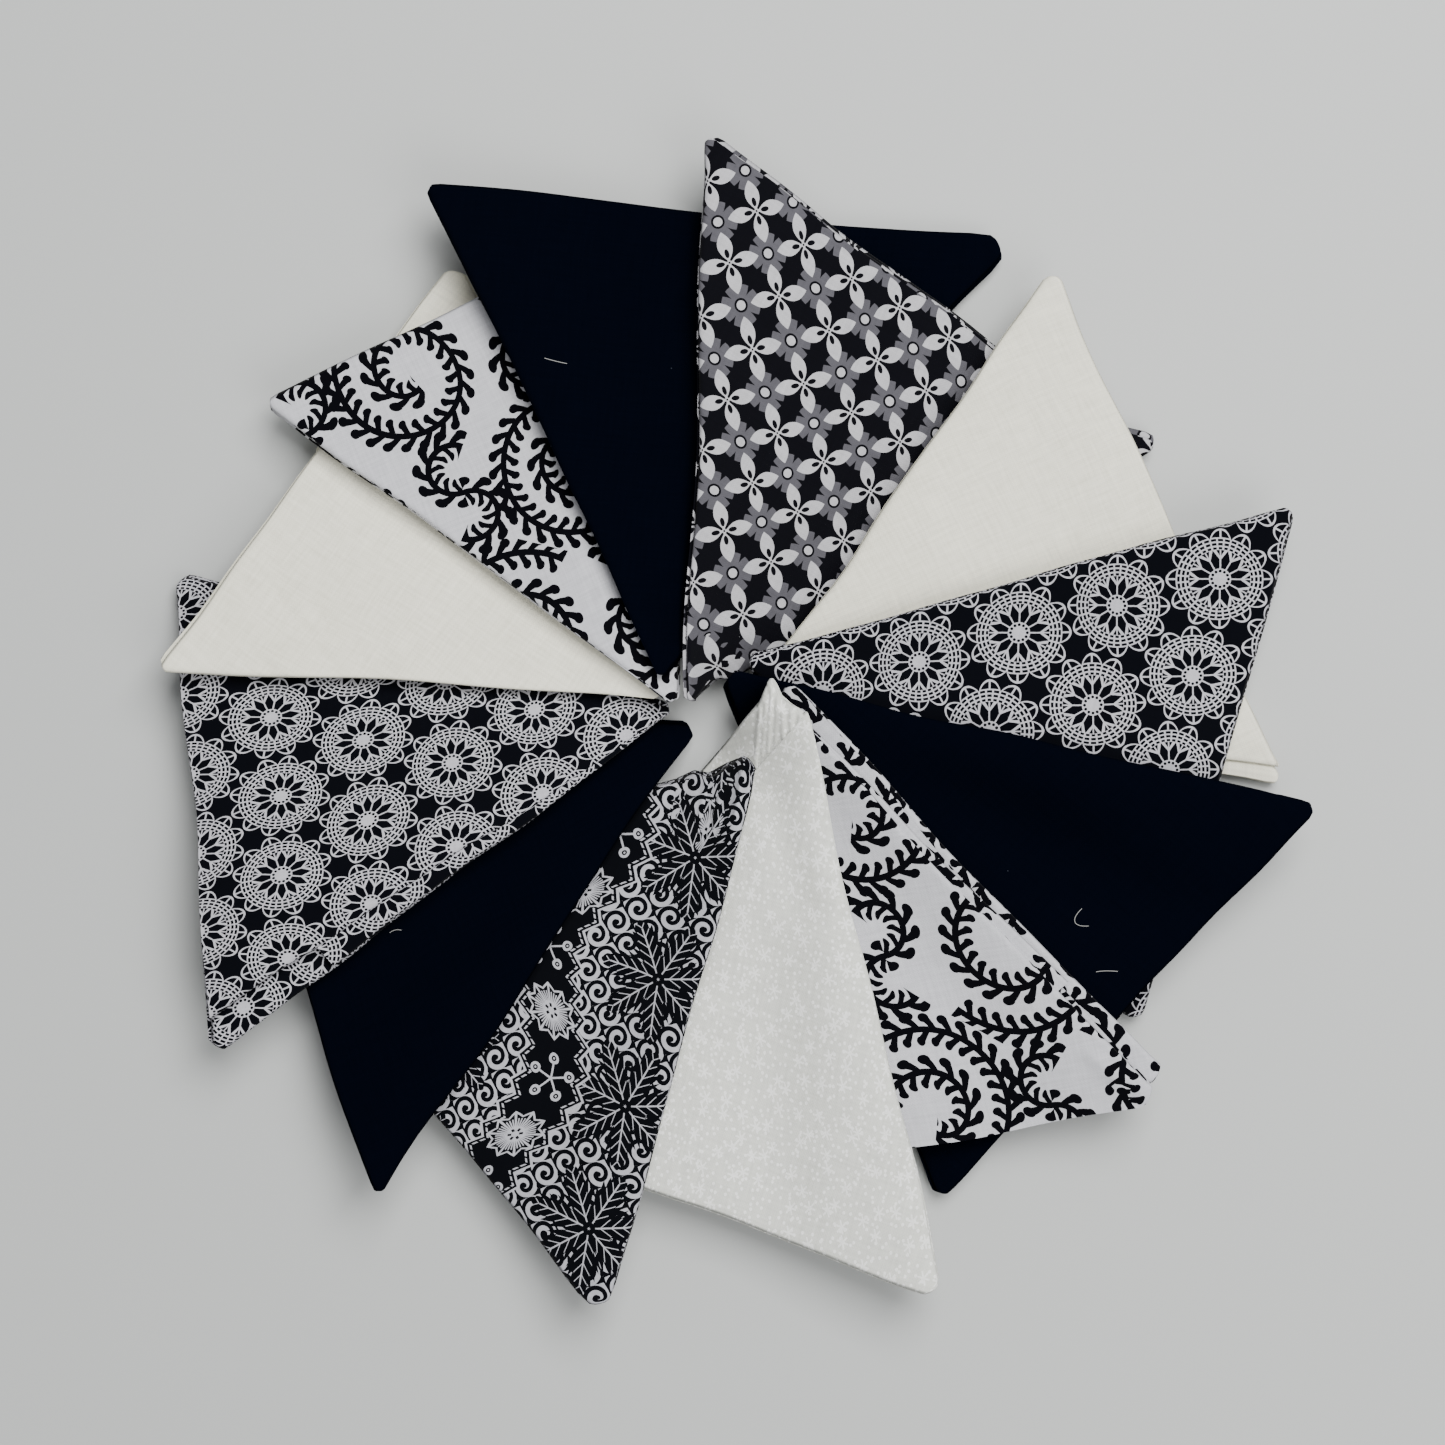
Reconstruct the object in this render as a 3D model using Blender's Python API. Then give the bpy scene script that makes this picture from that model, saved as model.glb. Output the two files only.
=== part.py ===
"""Fat quarter bundle: twelve fat quarters of quilting cotton, flag-folded and fanned in a closed ring.

Each fat quarter is folded in four to a strip, and the strip is turned over and over into an
equilateral triangle, so a piece is one sheet that runs back and forth through its layers.
Going clockwise each piece lies on the one before it, and the first lies on the last.
Units are metres. +Z is up, and +Y is the top of the ring as it is seen from above.
"""

import math

import bmesh
import bpy
from mathutils import Vector

MM = 0.001

# How one fat quarter is folded
LAYERS = 5                  # turns of the strip, each four plies of cotton
SHEET = 1.2 * MM            # thickness of those four plies together
LAYER_GAP = 0.4 * MM        # air between two turns
RAW_EDGE_INSET = 2.2 * MM   # how far a turn's open edge stays inside the triangle
PITCH = SHEET + LAYER_GAP
FOLD_RADIUS = (PITCH + SHEET) / 2
FOLD_STEPS = 3              # flats round one fold
PIECE_HEIGHT = LAYERS * SHEET + (LAYERS - 1) * LAYER_GAP

# How the pieces lie on each other
CENTRE = Vector((-3.7 * MM, -0.8 * MM))   # middle of the open hole in the ring
RINGS = (6 * MM, 14 * MM, 30 * MM, 66 * MM, 155 * MM)
PRESSED = (0.42, 0.47, 0.68, 1.0, 1.0)  # share of its full height that a piece keeps at each ring
PIECE_GAPS = (1.6 * MM, 1.4 * MM, 0.9 * MM, 0.6 * MM, 0.6 * MM)  # upright, wider where it is steep
CREASE_CLEAR = FOLD_RADIUS + 0.8 * MM  # the creases run just outside the folds
INNER_TWIST = 8 * MM        # the edges pass the centre at about this distance
EASED_RINGS = 3             # rings round the centre where the pieces bridge their steps
EASED_TIMES = 3             # how far each step is bridged
STRAIGHT_FROM = 2           # ring from which the creases follow the pieces' own edges
MIDDLE_CREASE = 0.45        # place of the crease between two edges, as a share of the way
KEY_GRID = 0.02 * MM        # points closer than this are one point
WELD = 0.15 * MM            # slivers of the net narrower than this are closed up

# The triangles, clockwise from the top: name, inner tip, leading corner and trailing corner in mm,
# width of the blunt tip in mm, side of the first fold, and colour
COLUMNS = ("name", "tip", "lead", "trail", "blunt", "first_fold", "colour")
ROWS = (
    ("fat_quarter_01_petal", (-12, 5), (-7, 141), (99, 66), 3, 2, "grey"),
    ("fat_quarter_02_cream", (-1, 2), (76, 108), (132, -15), 9, 1, "cream"),
    ("fat_quarter_03_doily", (0, 15), (134, 52), (98, -74), 4, 2, "grey"),
    ("fat_quarter_04_navy", (-5, 14), (139, -20), (49, -115), 6, 1, "navy"),
    ("fat_quarter_05_vine", (11, 11), (104, -87), (-23, -112), 4, 2, "white"),
    ("fat_quarter_06_star", (13, 16), (49, -137), (-72, -95), 11, 1, "cream"),
    ("fat_quarter_07_scroll", (5, -9), (-32, -142), (-119, -40), 4, 2, "grey"),
    ("fat_quarter_08_navy", (-10, 0), (-86, -114), (-130, 11), 4, 1, "navy"),
    ("fat_quarter_09_doily", (-14, 4), (-125, -80), (-136, 36), 3, 2, "grey"),
    ("fat_quarter_10_cream", (-16, 6), (-139, 13), (-69, 112), 5, 1, "cream"),
    ("fat_quarter_11_vine", (-15, 4), (-115, 78), (-5, 129), 3, 2, "white"),
    ("fat_quarter_12_navy", (-18, 10), (-75, 129), (64, 117), 7, 1, "navy"),
)
CORNER_BLUNT = 3.5          # mm, width of the outer corners

COLOURS = {
    "cream": (0.67, 0.65, 0.60, 1.0),
    "white": (0.60, 0.60, 0.63, 1.0),
    "grey": (0.22, 0.22, 0.24, 1.0),
    "navy": (0.004, 0.005, 0.013, 1.0),
}


def clear_scene():
    for obj in list(bpy.data.objects):
        bpy.data.objects.remove(obj, do_unlink=True)


def read_pieces():
    """Turn the rows into dictionaries, with corners in metres and listed anticlockwise from above."""
    pieces = []
    for order, row in enumerate(ROWS):
        piece = dict(zip(COLUMNS, row))
        piece["order"] = order
        for corner in ("tip", "lead", "trail"):
            piece[corner] = Vector(piece[corner]) * MM
        piece["corners"] = [piece["tip"], piece["trail"], piece["lead"]]
        piece["blunts"] = [piece["blunt"] * MM, CORNER_BLUNT * MM, CORNER_BLUNT * MM]
        pieces.append(piece)
    return pieces


def outward(start, end):
    """Unit vector square to an edge, pointing out of an anticlockwise outline."""
    along = (end - start).normalized()
    return Vector((along.y, -along.x))


def edge_bearing(piece, radius, twist=None):
    """Bearing at which the piece's trailing edge crosses a ring."""
    along = (piece["trail"] - piece["tip"]).normalized()
    from_tip = CENTRE - piece["tip"]
    passes_at = along.x * from_tip.y - along.y * from_tip.x
    offset = -passes_at if twist is None else twist
    return math.atan2(along.x, along.y) - math.asin(max(-1.0, min(1.0, offset / radius)))


def creases(pieces):
    """Points of the shared crease net, ring by ring: one crease along each trailing edge, one between."""
    net = []
    for ring, radius in enumerate(RINGS):
        twist = INNER_TWIST if ring < STRAIGHT_FROM else None
        angles = [edge_bearing(piece, radius, twist) + CREASE_CLEAR / radius for piece in pieces]
        row = []
        for order, angle in enumerate(angles):
            following = angles[(order + 1) % len(angles)]
            step = (following - angle) % (2 * math.pi)
            for share in (0.0, MIDDLE_CREASE):
                turned = angle + share * step
                row.append(CENTRE + radius * Vector((math.sin(turned), math.cos(turned))))
        net.append(row)
    return net


def net_mesh(net):
    """The crease net as a flat mesh of triangles, each face carrying its own number."""
    bm = bmesh.new()
    number = bm.faces.layers.int.new("number")
    rays = len(net[0])
    points = [[bm.verts.new(point.to_3d()) for point in row] for row in net]
    triangles = []
    for ring in range(len(net) - 1):
        for ray in range(rays):
            after = (ray + 1) % rays
            inner, outer = (ring, ray), (ring + 1, ray)
            inner_after, outer_after = (ring, after), (ring + 1, after)
            triangles.append((inner, inner_after, outer_after))
            triangles.append((inner, outer_after, outer))
    for index, triangle in enumerate(triangles):
        face = bm.faces.new([points[ring][ray] for ring, ray in triangle])
        face[number] = index
    return bm, triangles


def trim(bm, point, normal, keep_outside=False):
    """Cut the flat mesh along a line, and drop what lies beyond it."""
    bmesh.ops.bisect_plane(
        bm,
        geom=bm.verts[:] + bm.edges[:] + bm.faces[:],
        dist=1e-7,
        plane_co=point.to_3d(),
        plane_no=normal.to_3d(),
        clear_outer=not keep_outside,
    )


def outline_lines(piece, grow=0.0):
    """The three sides and three blunt corners of a triangle, as points and outward directions."""
    corners = piece["corners"]
    sides = []
    for index, start in enumerate(corners):
        end = corners[(index + 1) % 3]
        normal = outward(start, end)
        sides.append((start + normal * grow, normal))
    blunts = []
    for index, corner in enumerate(corners):
        to_next = (corners[(index + 1) % 3] - corner).normalized()
        to_last = (corners[(index - 1) % 3] - corner).normalized()
        inward = (to_next + to_last).normalized()
        half_angle = to_next.angle(to_last) / 2
        depth = piece["blunts"][index] / (2 * math.tan(half_angle))
        blunts.append((corner + inward * (depth - grow), -inward))
    return sides, blunts


def footprint(piece, net, grow=0.0):
    """The net trimmed to one triangle."""
    bm, triangles = net_mesh(net)
    sides, blunts = outline_lines(piece, grow)
    for point, normal in sides + blunts:
        trim(bm, point, normal)
    return bm, triangles


def lies_on(pieces, net):
    """For each point of the net, the pieces there and which of them each one lies on."""
    touched = []
    for piece in pieces:
        plan, triangles = footprint(piece, net, grow=FOLD_RADIUS)
        number = plan.faces.layers.int["number"]
        touched.append({face[number] for face in plan.faces})
        plan.free()
    faces_at = {}
    for index, triangle in enumerate(triangles):
        for point in triangle:
            faces_at.setdefault(point, set()).add(index)
    count = len(pieces)
    below = {}
    for point, around in faces_at.items():
        here = [order for order in range(count) if touched[order] & around]
        below[point] = {
            order: [other for other in here
                    if 0 < (order - other) % count < count // 2 and touched[order] & touched[other] & around]
            for order in here
        }
    return below


def step_at(ring):
    """Upright room that one piece takes at a ring."""
    return PIECE_HEIGHT * PRESSED[ring] + PIECE_GAPS[ring]


def rest_on(heights, point, below):
    """Raise each piece at one point until it clears every piece it lies on there."""
    for _ in below:
        for order, others in below.items():
            for other in others:
                cleared = heights[other, point] + step_at(point[0])
                heights[order, point] = max(heights[order, point], cleared)


def pile_heights(pieces, net):
    """Height of each piece over each point of the net: on the table, or on what lies below it there."""
    below = lies_on(pieces, net)
    heights = {(order, point): 0.0 for point, orders in below.items() for order in orders}
    for point, orders in below.items():
        rest_on(heights, point, orders)
    rays = len(net[0])
    for _ in range(EASED_TIMES):
        eased = dict(heights)
        for order, (ring, ray) in heights:
            if ring >= EASED_RINGS:
                continue
            around = [(ring, (ray + 1) % rays), (ring, (ray - 1) % rays), (ring + 1, ray), (ring - 1, ray)]
            beside = [heights[order, point] for point in around if (order, point) in heights]
            mean = sum(beside) / max(1, len(beside))
            eased[order, (ring, ray)] = max(heights[order, (ring, ray)], mean)
        heights = eased
        for point, orders in below.items():
            rest_on(heights, point, orders)
    return heights


def pressed_at(flat):
    """Share of its full height that a piece keeps at a flat point."""
    radius = (flat - CENTRE).length
    for ring in range(1, len(RINGS)):
        if radius < RINGS[ring]:
            share = (radius - RINGS[ring - 1]) / (RINGS[ring] - RINGS[ring - 1])
            return PRESSED[ring - 1] + share * (PRESSED[ring] - PRESSED[ring - 1])
    return PRESSED[-1]


def locate(flat, net, triangles, index):
    """Shares of a triangle's three corners at a flat point."""
    a, b, c = [net[ring][ray] for ring, ray in triangles[index]]
    whole = (b - a).cross(c - a)
    share_b = (flat - a).cross(c - a) / whole
    share_c = (b - a).cross(flat - a) / whole
    return (1 - share_b - share_c, share_b, share_c)


def find_triangle(flat, net, triangles, nearby):
    """The nearby triangle that holds a flat point best."""
    return max(nearby, key=lambda index: min(locate(flat, net, triangles, index)))


def spot(point):
    """A flat point's key: the same for every turn that has a vertex there."""
    return (round(point.x / KEY_GRID), round(point.y / KEY_GRID))


def crossing(line_a, line_b):
    """Where two lines, each a point and an outward direction, cross."""
    (point_a, normal_a), (point_b, normal_b) = line_a, line_b
    reach_a, reach_b = point_a.dot(normal_a), point_b.dot(normal_b)
    whole = normal_a.cross(normal_b)
    return Vector((reach_a * normal_b.y - reach_b * normal_a.y,
                   reach_b * normal_a.x - reach_a * normal_b.x)) / whole


def split_rim(plan, point):
    """Give the rim a vertex at a point that lies on it."""
    for edge in plan.edges:
        if not edge.is_boundary:
            continue
        start, end = edge.verts[0].co.to_2d(), edge.verts[1].co.to_2d()
        along = end - start
        share = (point - start).dot(along) / along.length_squared
        beside = abs(along.cross(point - start)) / along.length
        if beside < KEY_GRID and 0 < share < 1 and min(share, 1 - share) * along.length > WELD:
            bmesh.utils.edge_split(edge, edge.verts[0], share)
            return


def turn_plan(piece, net, raw, neighbours):
    """The flat shape of one turn, set in along its raw side, with rim points where its neighbours end."""
    plan = footprint(piece, net)[0]
    sides = outline_lines(piece)[0]
    insets = [(point - normal * RAW_EDGE_INSET, normal) for point, normal in sides]
    trim(plan, *insets[raw])
    for side, other_raw in neighbours:
        split_rim(plan, crossing(sides[side], insets[other_raw]))
    bmesh.ops.remove_doubles(plan, verts=plan.verts[:], dist=WELD)
    spots = {spot(vert.co): vert.co.to_2d() for vert in plan.verts}
    shapes = [[spot(vert.co) for vert in face.verts] for face in plan.faces]
    plan.free()
    return spots, shapes


def rim_edges(shapes):
    edges = {edge for shape in shapes for edge in zip(shape, shape[1:] + shape[:1])}
    return {edge for edge in edges if (edge[1], edge[0]) not in edges}


def fold_sheet(piece, net):
    """The folded strip as one closed solid, still flat, with levels from 0 to the piece's full height."""
    sides = outline_lines(piece)[0]
    fold_sides = [(piece["first_fold"] + turn) % 3 for turn in range(LAYERS - 1)]
    raws = [(piece["first_fold"] + turn + 1) % 3 for turn in range(LAYERS)]
    spots = {}
    plans = []
    for turn in range(LAYERS):
        neighbours = []
        for other in (turn - 1, turn + 1):
            if 0 <= other < LAYERS:
                neighbours.append((fold_sides[min(turn, other)], raws[other]))
        turn_spots, shapes = turn_plan(piece, net, raws[turn], neighbours)
        spots.update(turn_spots)
        plans.append(shapes)
    rims = [rim_edges(shapes) for shapes in plans]

    bm = bmesh.new()
    verts = {}

    def vert(key, flat, level):
        if key not in verts:
            verts[key] = bm.verts.new((flat.x, flat.y, level))
        return verts[key]

    def under(turn, key):
        return vert((turn, "under", key), spots[key], turn * PITCH)

    def over(turn, key):
        return vert((turn, "over", key), spots[key], turn * PITCH + SHEET)

    def fold_profile(turn, key, normal):
        """Points round the outside of the fold from this turn up to the next."""
        points = [under(turn, key)]
        for step in range(1, FOLD_STEPS):
            angle = math.pi * (step / FOLD_STEPS - 0.5)
            flat = spots[key] + normal * FOLD_RADIUS * pressed_at(spots[key]) * math.cos(angle)
            level = turn * PITCH + FOLD_RADIUS * (1 + math.sin(angle))
            points.append(vert((turn, step, key), flat, level))
        return points + [over(turn + 1, key)]

    def on_side(edge, side):
        point, normal = sides[side]
        return all(abs((spots[key] - point).dot(normal)) < WELD for key in edge)

    runs = []
    for turn, side in enumerate(fold_sides):
        runs.append({edge for edge in rims[turn] & rims[turn + 1] if on_side(edge, side)})
    for turn, shapes in enumerate(plans):
        for shape in shapes:
            bm.faces.new([over(turn, key) for key in shape])
            bm.faces.new([under(turn, key) for key in reversed(shape)])
        folded = set().union(*runs[max(0, turn - 1):turn + 1])
        for start, end in sorted(rims[turn] - folded):
            bm.faces.new([under(turn, start), under(turn, end), over(turn, end), over(turn, start)])
    for turn, run in enumerate(runs):
        normal = sides[fold_sides[turn]][1]
        for start, end in sorted(run):
            near, far = fold_profile(turn, start, normal), fold_profile(turn, end, normal)
            for step in range(FOLD_STEPS):
                bm.faces.new([near[step], far[step], far[step + 1], near[step + 1]])
            bm.faces.new([over(turn, start), under(turn + 1, start), under(turn + 1, end), over(turn, end)])
        starts, ends = {start for start, end in run}, {end for start, end in run}
        for key in sorted(starts ^ ends):
            bm.faces.new(fold_profile(turn, key, normal) + [under(turn + 1, key), over(turn, key)])
    bmesh.ops.recalc_face_normals(bm, faces=bm.faces[:])
    return bm


def drape(bm, piece, net, triangles, heights):
    """Lift the flat solid on to what it lies on, and press it thinner towards the centre."""
    order = piece["order"]
    known = [index for index, triangle in enumerate(triangles)
             if all((order, point) in heights for point in triangle)]
    for vert in bm.verts:
        flat = vert.co.to_2d()
        index = find_triangle(flat, net, triangles, known)
        shares = locate(flat, net, triangles, index)
        lift = 0.0
        press = 0.0
        for share, point in zip(shares, triangles[index]):
            lift += share * heights[order, point]
            press += share * PRESSED[point[0]]
        vert.co.z = max(0.0, lift) + vert.co.z * press


def make_material(name, colour):
    material = bpy.data.materials.new(name)
    material.use_nodes = True
    shader = material.node_tree.nodes["Principled BSDF"]
    shader.inputs["Base Color"].default_value = colour
    shader.inputs["Roughness"].default_value = 0.9
    shader.inputs["Metallic"].default_value = 0.0
    return material


def build_piece(piece, net, triangles, heights):
    bm = fold_sheet(piece, net)
    drape(bm, piece, net, triangles, heights)
    mesh = bpy.data.meshes.new(piece["name"])
    bm.to_mesh(mesh)
    bm.free()
    obj = bpy.data.objects.new(piece["name"], mesh)
    obj.data.materials.append(make_material(piece["name"] + "_cotton", COLOURS[piece["colour"]]))
    bpy.context.scene.collection.objects.link(obj)
    return obj


def centre_over_origin(objects):
    """Shift everything sideways so that the whole ring's box is centred on the origin."""
    corners = [vert.co for obj in objects for vert in obj.data.vertices]
    middle_x = (min(co.x for co in corners) + max(co.x for co in corners)) / 2
    middle_y = (min(co.y for co in corners) + max(co.y for co in corners)) / 2
    for obj in objects:
        for vert in obj.data.vertices:
            vert.co.x -= middle_x
            vert.co.y -= middle_y


def main():
    clear_scene()
    pieces = read_pieces()
    net = creases(pieces)
    triangles = net_mesh(net)[1]
    heights = pile_heights(pieces, net)
    objects = [build_piece(piece, net, triangles, heights) for piece in pieces]
    centre_over_origin(objects)


main()
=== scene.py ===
import math

import bmesh
import bpy
import numpy as np
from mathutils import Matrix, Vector
from mathutils.bvhtree import BVHTree


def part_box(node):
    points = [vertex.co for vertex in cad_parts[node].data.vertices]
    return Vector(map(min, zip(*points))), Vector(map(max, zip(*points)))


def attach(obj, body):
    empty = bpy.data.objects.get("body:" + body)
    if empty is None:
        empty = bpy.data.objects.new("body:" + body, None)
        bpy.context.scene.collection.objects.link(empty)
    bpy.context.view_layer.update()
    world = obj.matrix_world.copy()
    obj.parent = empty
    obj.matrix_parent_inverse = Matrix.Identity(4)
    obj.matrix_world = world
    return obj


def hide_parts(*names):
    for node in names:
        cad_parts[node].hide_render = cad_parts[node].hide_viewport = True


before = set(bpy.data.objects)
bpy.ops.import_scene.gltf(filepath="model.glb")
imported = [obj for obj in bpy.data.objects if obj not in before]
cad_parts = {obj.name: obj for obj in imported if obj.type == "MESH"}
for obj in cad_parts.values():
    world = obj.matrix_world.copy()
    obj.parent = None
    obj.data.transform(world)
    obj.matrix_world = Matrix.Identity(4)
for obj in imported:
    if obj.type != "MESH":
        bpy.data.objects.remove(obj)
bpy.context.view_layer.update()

# The ring
# Twelve fat quarters of quilting cotton, each folded flat into a triangle and fanned round by hand.
# Going clockwise each triangle lies on the one before it, and the first lies on the last, so their
# thin pressed tips are crossed over each other round a small open hole.
MM = 0.001
RING_SHIFT = (0.22, 0.04)           # mm, from the sizes below to the frame
PLACES = {
    "petal_fat_quarter_1": dict(node="fat_quarter_01_petal",
        tip=(-12, 5), trail=(99, 66), lead=(-7, 141), blunts=(2, 4, 4)),
    "cream_fat_quarter_2": dict(node="fat_quarter_02_cream",
        tip=(-1, 2), trail=(132, -15), lead=(76, 108), blunts=(9, 4, 4.5)),
    "doily_fat_quarter_3": dict(node="fat_quarter_03_doily",
        tip=(0, 15), trail=(98, -74), lead=(134, 52), blunts=(4, 4, 3)),
    "navy_fat_quarter_4": dict(node="fat_quarter_04_navy",
        tip=(-5, 14), trail=(49, -115), lead=(139, -20), blunts=(6, 3, 4)),
    "vine_fat_quarter_5": dict(node="fat_quarter_05_vine",
        tip=(11, 11), trail=(-23, -112), lead=(104, -87), blunts=(4, 4, 7)),
    "star_fat_quarter_6": dict(node="fat_quarter_06_star",
        tip=(13, 16), trail=(-72, -95), lead=(49, -137), blunts=(9, 4, 5)),
    "scroll_fat_quarter_7": dict(node="fat_quarter_07_scroll",
        tip=(5, -9), trail=(-119, -40), lead=(-32, -142), blunts=(4, 4, 7)),
    "navy_fat_quarter_8": dict(node="fat_quarter_08_navy",
        tip=(-10, 0), trail=(-130, 11), lead=(-86, -114), blunts=(4, 4, 3)),
    "doily_fat_quarter_9": dict(node="fat_quarter_09_doily",
        tip=(-14, 4), trail=(-136, 36), lead=(-125, -80), blunts=(3, 3, 4)),
    "cream_fat_quarter_10": dict(node="fat_quarter_10_cream",
        tip=(-16, 6), trail=(-69, 112), lead=(-139, 13), blunts=(5, 5, 2.5)),
    "vine_fat_quarter_11": dict(node="fat_quarter_11_vine",
        tip=(-15, 4), trail=(-5, 129), lead=(-115, 78), blunts=(3, 4, 3)),
    "navy_fat_quarter_12": dict(node="fat_quarter_12_navy",
        tip=(-18, 10), trail=(64, 117), lead=(-75, 129), blunts=(2, 7, 3.5)),
}
NAMES = list(PLACES)
GRID_STEP = 1.5 * MM                # spacing of the heights that the cloth is draped over
GRID_SIDE = 204
REACH = 5                           # grid steps that each height map runs on past its triangle
SOFTENING = 30                      # rounds of smoothing, which bend the cloth softly over what lies below
AIR = 0.15 * MM                     # between one piece and the next
DEEPEST_PILE = 6                    # a piece lies on at most this many before it

for place in PLACES.values():
    corners = [Vector(place[corner]) + Vector(RING_SHIFT) for corner in ("tip", "trail", "lead")]
    place["corners"] = np.array([list(corner) for corner in corners]) * MM

grid_line = (np.arange(GRID_SIDE) - (GRID_SIDE - 1) / 2) * GRID_STEP
grid_x, grid_y = np.meshgrid(grid_line, grid_line, indexing="ij")


def around(values, known):
    """Mean of the known values at each grid point and its four neighbours, and where there is one."""
    weighed = np.where(known, values, 0.0)
    total, count = weighed * 2.0, known * 2.0
    for axis in (0, 1):
        for way in (1, -1):
            total = total + np.roll(weighed, way, axis)
            count = count + np.roll(known, way, axis)
    return total / np.maximum(count, 1e-9), count > 0


def solid_heights(node):
    """Heights of a solid's underside and top over the grid, and where it lies."""
    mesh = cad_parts[node].data
    points, faces = [vert.co[:] for vert in mesh.vertices], [face.vertices[:] for face in mesh.polygons]
    tree = BVHTree.FromPolygons(points, faces)
    low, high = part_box(node)
    under, top = np.zeros(grid_x.shape), np.zeros(grid_x.shape)
    known = np.zeros(grid_x.shape, bool)
    inside = (grid_x > low.x) & (grid_x < high.x) & (grid_y > low.y) & (grid_y < high.y)
    for i, j in np.argwhere(inside):
        x, y = grid_line[i], grid_line[j]
        below = tree.ray_cast(Vector((x, y, low.z - 0.01)), Vector((0, 0, 1)))[0]
        if below is not None:
            above = tree.ray_cast(Vector((x, y, high.z + 0.01)), Vector((0, 0, -1)))[0]
            under[i, j], top[i, j], known[i, j] = below.z, above.z, True
    return under, top, known


heights, depths, covers, solid_covers = [], [], [], []
for place in PLACES.values():
    under, top, known = solid_heights(place["node"])
    deep = top - under
    solid_covers.append(known)
    for _ in range(REACH):
        for values in (under, deep):
            values[:] = np.where(known, values, around(values, known)[0])
        known = around(under, known)[1]
    heights.append(under)
    depths.append(deep)
    covers.append(known)
for _ in range(SOFTENING):
    for order, cover in enumerate(covers):
        depths[order] = np.where(cover, around(depths[order], cover)[0], 0.0)
        softened = around(heights[order], cover)[0]
        for back in range(1, DEEPEST_PILE):
            other = (order - back) % len(NAMES)
            pressed_on = cover & solid_covers[other]
            clear = heights[other] + depths[other] + AIR
            softened = np.where(pressed_on, np.maximum(softened, clear), softened)
        heights[order] = np.where(cover, softened, 0.0)


def sampled(values, x, y):
    """A grid's values at the points x, y."""
    u = np.clip((x - grid_line[0]) / GRID_STEP, 0, GRID_SIDE - 1.001)
    v = np.clip((y - grid_line[0]) / GRID_STEP, 0, GRID_SIDE - 1.001)
    i, j = u.astype(int), v.astype(int)
    u, v = u - i, v - j
    near = values[i, j] * (1 - v) + values[i, j + 1] * v
    far = values[i + 1, j] * (1 - v) + values[i + 1, j + 1] * v
    return near * (1 - u) + far * u


# Fat quarter 1, petal print
# Plain-woven quilting cotton, 18 by 22 in, printed with white petal flowers and grey flowers on black.
# Like the rest it is folded in four to a strip 114 mm wide, which is turned over and over on slanting
# folds into a triangle about 132 mm on a side, and the strip's loose end is tucked under the last turn.
SHORT_SIDE = 0.4572
LONG_SIDE = 0.5588
STRIP = SHORT_SIDE / 4
HALF_TURN = STRIP / math.tan(math.radians(60))
FIRST_CORNER = -2 * HALF_TURN       # where the zigzag of folds would start along the strip
FIRST_TURN = 1
LAST_TURN = 9                       # the loose end, tucked between the eighth turn and the seventh
PLIES = 36                          # nine turns of four plies
PLY = 0.21 * MM
FOLD_REACH = 8 * MM                 # how far in a fold draws the cloth
STRAY = 0.45 * MM                   # how far a corner strays from the one below it
BLUNT_KEPT = 0.3                    # share of a blunted corner's cloth that still stands out
WANDERS = ((85, 0.55), (47, 0.3), (26, 0.12))   # mm, how the edges wander
SWELLS = ((62, 0.16), (48, 0.14), (37, 0.10), (29, 0.08), (21, 0.05), (15, 0.035), (11, 0.02))  # mm
CELLS = 30                          # triangles of the mesh along one side of a turn
FOLD_ROWS = (-1.8 * MM, -0.9 * MM, 0.9 * MM, 1.8 * MM)   # extra rows of points on each side of a fold
TOP_CUTS = 2                        # finer mesh on the ply that shows
TIP_CUTS = 7                        # and a finer one still round the tip, where cloth is gathered
TIP_REACH = 23 * MM                 # how far from the tip that goes
FINE_EDGE = 1.5 * MM                # edges up to this long stay whole round the tip
SHOWING_EDGE = 2.2 * MM             # and up to this long on the rest of the top turn
SEEN_TURNS = {8: 9, 6: 6}           # the top turn and one seen past its tucked tip, with their tip corners
MERGE_WITHIN = 1e-6
STACKED = {turn: turn - 1 for turn in range(FIRST_TURN, 8)} | {9: 7, 8: 8}
PLY_ORDER = {                       # place of each quarter of the sheet in the strip, from the bottom
    "cut": (2, 1, 0, 3),
    "folded": (1, 2, 3, 0),
}
TURN_BEND = 3.5                     # plies from the middle of a bend to its outermost, where the strip turns
LOOSE_END_BEND = 5.5                # where it turns round the tucked loose end
SIDE_BEND = 1.5                     # and where the sheet is doubled along the strip


def fold_x(line, s, edge):
    """Where a slanting fold crosses the strip at the distance s from its first long edge."""
    start = (line % 2 == 0) == (edge == "cut")
    share = s / STRIP if start else 1 - s / STRIP
    return FIRST_CORNER + HALF_TURN * (line + share)


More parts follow.
